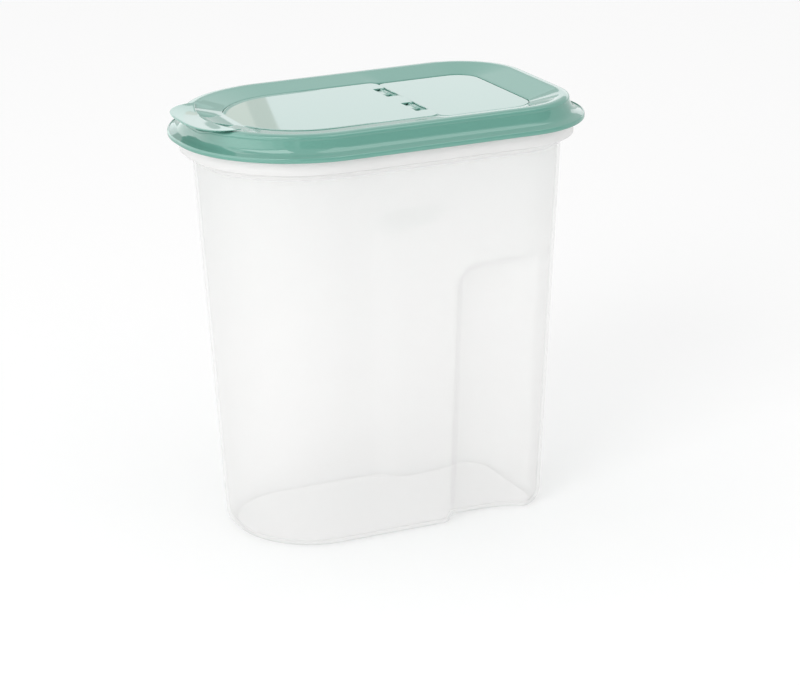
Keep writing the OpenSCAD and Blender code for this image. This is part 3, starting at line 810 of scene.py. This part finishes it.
world = bpy.data.worlds.new("studio")
bpy.context.scene.world = world
world.use_nodes = True
sky = world.node_tree.nodes["Background"]
sky.inputs["Color"].default_value = (1, 1, 1, 1)
sky.inputs["Strength"].default_value = 0.92


def soft_box(name, place, aim, size, power):
    """An area lamp at a place in mm, turned to face a point in mm."""
    lamp = bpy.data.lights.new(name, "AREA")
    lamp.shape = "RECTANGLE"
    lamp.size, lamp.size_y = (s * MM for s in size)
    lamp.energy = power
    holder = bpy.data.objects.new(name, lamp)
    holder.location = np.array(place) * MM
    bpy.context.scene.collection.objects.link(holder)
    direction = np.array(place, float) - np.array(aim, float)
    yaw = math.atan2(direction[1], direction[0])
    tilt = math.atan2(math.hypot(direction[0], direction[1]), direction[2])
    holder.rotation_euler = (0, tilt, yaw)
    return holder


def card(name, corners, colour):
    """A studio card that glows in that colour, from its corners as (azimuth, elevation) in degrees.

    Azimuth is measured from +Y towards +X, from above the lid; the card is 1.6 m away. It shows in
    glossy surfaces only.
    """
    azimuth, elevation = np.radians(np.array(corners, float)).T
    away = 1600 / np.cos(elevation)
    points = np.stack([
        away * np.cos(elevation) * np.sin(azimuth),
        away * np.cos(elevation) * np.cos(azimuth),
        crest_z + away * np.sin(elevation)], axis=-1)
    mesh = bpy.data.meshes.new(name)
    mesh.from_pydata((points * MM).tolist(), [], [list(range(len(corners)))])
    glow = bpy.data.materials.new(name)
    glow.use_nodes = True
    nodes, links = glow.node_tree.nodes, glow.node_tree.links
    light = nodes.new("ShaderNodeEmission")
    light.inputs["Color"].default_value = (*colour, 1)
    links.new(light.outputs["Emission"], nodes["Material Output"].inputs["Surface"])
    mesh.materials.append(glow)
    board = bpy.data.objects.new(name, mesh)
    bpy.context.scene.collection.objects.link(board)
    board.visible_camera = False
    board.visible_transmission = False
    board.visible_shadow = False
    board.visible_diffuse = False
    return board


card("back_card",
     [(18.75, 10.8), (26, 10.8), (26, 4), (62, 4), (62, 15), (20.93, 15), (20.1, 12.9), (18.75, 12.9)],
     (1.95, 1.84, 1.9))
card("back_edge_card", [(19.35, 12.9), (20.1, 12.9), (20.93, 15), (20.18, 15)], (1.4, 1.22, 1.2))
card("back_strip_card", [(18.75, 12.9), (19.35, 12.9), (20.18, 15), (18.75, 15)], (1.7, 1.5, 1.46))
card("tab_card", [(0, 4), (18.75, 4), (18.75, 18), (0, 18)], (1.85, 1.85, 1.88))
card("back_top_card", [(8, 19.5), (38, 19.5), (38, 44), (8, 44)], (1.25, 1.3, 1.3))
card("high_front_card", [(75, 44), (165, 44), (165, 78), (75, 78)], (2.8, 2.8, 2.8))
card("front_card", [(115, -6), (160, -6), (205, -6), (205, 42), (160, 42), (115, 42)], (0.05, 0.05, 0.05))
card("rear_left_card", [(-62, -8), (-30, -8), (0, -8), (0, 60), (-30, 60), (-62, 60)], (2.3, 2.3, 2.3))
card("high_left_card", [(-140, 46), (-70, 46), (-70, 78), (-140, 78)], (5, 5, 5))
left_card_wide = 11
for index, strength in enumerate((2.6, 2.8, 3, 3, 2.6, 1.9, 1.2, 0.5)):
    near = -62 - left_card_wide * index
    far = near - left_card_wide
    card(f"left_card_{index}", [(far, -4), (near, -4), (near, 42), (far, 42)], (strength,) * 3)
fill = soft_box("left_light", (-1250, -950, 850), (0, 0, 120), (1100, 800), 8)
fill.visible_glossy = False

# the camera, as fitted to the photograph: where it looks, how far away, and how it is turned
view_target = np.array([12.358, 0, 77.108])
view_azimuth, view_elevation, view_roll = (math.radians(v) for v in (-24.392, 18.086, -1.091))
view_distance = 1417.49
view_lens = 138.27

camera = bpy.data.cameras.new("camera")
camera.lens = view_lens
camera.sensor_width = 36
camera.clip_start = 0.05
camera.clip_end = 50
camera_object = bpy.data.objects.new("camera", camera)
bpy.context.scene.collection.objects.link(camera_object)
back = np.array([
    math.sin(view_azimuth) * math.cos(view_elevation),
    -math.cos(view_azimuth) * math.cos(view_elevation),
    math.sin(view_elevation)])
camera_object.location = (view_target + back * view_distance) * MM
camera_object.rotation_mode = "XYZ"
right = np.array([math.cos(view_azimuth), math.sin(view_azimuth), 0])
up = np.cross(back, right)
turned_right = math.cos(view_roll) * right + math.sin(view_roll) * up
turned_up = -math.sin(view_roll) * right + math.cos(view_roll) * up
camera_object.rotation_euler = Matrix((turned_right, turned_up, back)).transposed().to_euler()
bpy.context.scene.camera = camera_object
bpy.context.scene.view_settings.view_transform = "Standard"
